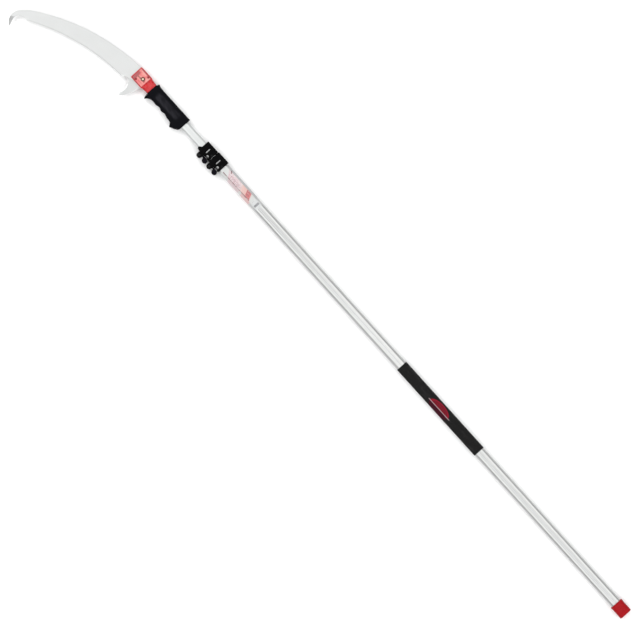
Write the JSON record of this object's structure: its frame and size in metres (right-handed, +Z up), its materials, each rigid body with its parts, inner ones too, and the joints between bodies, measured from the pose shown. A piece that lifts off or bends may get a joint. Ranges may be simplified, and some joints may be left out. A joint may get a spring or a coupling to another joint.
{
  "type": "telescoping pole saw",
  "caption": "Long telescoping pole of three oval tubes with cam-lever clamps, a grip sleeve, a pistol handle and a curved pruning saw blade with a hooked tip and an undercut hook.",
  "frame": {"origin": "centre of the butt cap's flat end face, on the pole's axis", "axes": "+X along the pole from the butt to the blade, +Y towards the toothed side of the blade, +Z up with the saw lying on its side"},
  "size_m": [2.9145, 0.2459, 0.039],
  "materials": {
    "anodised_aluminium": "extruded and clear anodised, satin",
    "blade_steel": "chrome plated, satin, ground teeth",
    "zinc_steel": "zinc plated",
    "black_nylon": "moulded, fine grain",
    "black_rubber": "moulded, matt",
    "grey_nylon": "moulded",
    "red_plastic": "moulded, semi-gloss",
    "red_rubber": "moulded, matt",
    "label_film": "printed film"
  },
  "bodies": {
    "outer_section": {"outer_tube": "anodised_aluminium", "butt_cap": "red_rubber", "grip_sleeve": "black_rubber", "pole_label": "label_film", "outer_clamp_collar": "black_nylon", "outer_clamp_axle": "zinc_steel", "outer_clamp_clip": "zinc_steel", "outer_clamp_screw_left": "zinc_steel", "outer_clamp_screw_right": "zinc_steel"},
    "outer_lever": {"outer_clamp_lever": "black_nylon"},
    "outer_pad": {"outer_clamp_pad": "grey_nylon"},
    "middle_section": {"middle_tube": "anodised_aluminium", "middle_tube_guide": "grey_nylon", "middle_clamp_collar": "black_nylon", "middle_clamp_axle": "zinc_steel", "middle_clamp_clip": "zinc_steel", "middle_clamp_screw_left": "zinc_steel", "middle_clamp_screw_right": "zinc_steel"},
    "middle_lever": {"middle_clamp_lever": "black_nylon"},
    "middle_pad": {"middle_clamp_pad": "grey_nylon"},
    "saw_section": {"saw_tube": "anodised_aluminium", "saw_tube_guide": "grey_nylon", "handle": "black_rubber", "handle_screw_rear": "zinc_steel", "handle_screw_front": "zinc_steel", "tang_block": "anodised_aluminium", "tang_rivet_rear": "zinc_steel", "tang_rivet_front": "zinc_steel", "holder_left": "red_plastic", "holder_right": "red_plastic", "saw_blade": "blade_steel", "undercut_hook": "blade_steel", "blade_bolt": "zinc_steel", "blade_bolt_nut": "zinc_steel", "holder_screw": "black_nylon", "hook_screw": "black_nylon"}
  },
  "joints": [
    {"name": "middle_tube_slide", "type": "slide", "parent": "outer_section", "child": "middle_section", "axis": [1, 0, 0], "range_m": [0, 1.72]},
    {"name": "saw_tube_slide", "type": "slide", "parent": "middle_section", "child": "saw_section", "axis": [1, 0, 0], "range_m": [-0.08, 1.65]},
    {"name": "outer_lever_hinge", "type": "hinge", "parent": "outer_section", "child": "outer_lever", "pos_m": [2.0795, 0.0316, 0], "axis": [0, 0, -1], "range_deg": [0, 110]},
    {"name": "outer_pad_slide", "type": "slide", "parent": "outer_section", "child": "outer_pad", "axis": [0, 1, 0], "range_m": [0, 0.00081]},
    {"name": "middle_lever_hinge", "type": "hinge", "parent": "middle_section", "child": "middle_lever", "pos_m": [2.1305, 0.0306, 0], "axis": [0, 0, -1], "range_deg": [0, 110]},
    {"name": "middle_pad_slide", "type": "slide", "parent": "middle_section", "child": "middle_pad", "axis": [0, 1, 0], "range_m": [0, 0.00081]}
  ],
  "couplings": [
    {"joint": "outer_pad_slide", "follows": "outer_lever_hinge", "m_per_rad": 0.0004167},
    {"joint": "middle_pad_slide", "follows": "middle_lever_hinge", "m_per_rad": 0.0004167}
  ]
}
